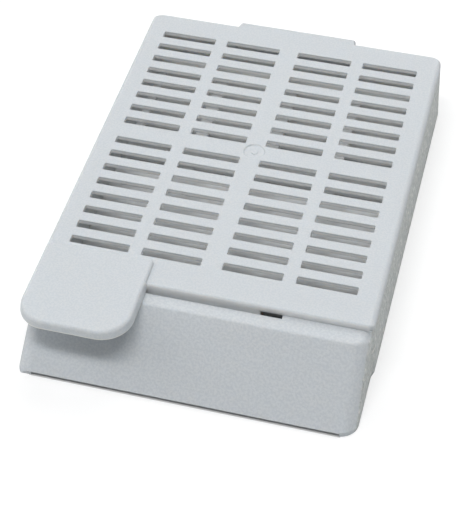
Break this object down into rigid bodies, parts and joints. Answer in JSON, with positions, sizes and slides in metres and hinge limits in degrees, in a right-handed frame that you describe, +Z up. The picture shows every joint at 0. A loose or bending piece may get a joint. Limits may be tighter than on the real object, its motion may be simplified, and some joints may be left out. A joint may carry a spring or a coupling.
{
  "type": "tissue cassette",
  "caption": "Slotted plastic tray with a slanted writing face and a hinged slotted lid that clips shut, for holding a tissue sample through processing and embedding.",
  "frame": {"origin": "on the surface the cassette rests on, under the middle of the bounding box of the closed cassette", "axes": "+Y from the slanted writing face towards the hinge, +Z up through the lid, +X to the right as the writing face is read"},
  "size_m": [0.0286, 0.042, 0.0064],
  "materials": {
    "base_plastic": "pale cool grey-white moulded acetal, fine spark-eroded grain, coarse grain on the side walls",
    "lid_plastic": "pale cool grey-white moulded acetal, satin with a very fine grain"
  },
  "bodies": {
    "base": {"base": "base_plastic"},
    "lid": {"lid": "lid_plastic"}
  },
  "joints": [
    {"name": "lid_hinge", "type": "hinge", "parent": "base", "child": "lid", "pos_m": [0, 0.0198, 0.0049], "axis": [-1, 0, 0], "range_deg": [0, 120]}
  ]
}
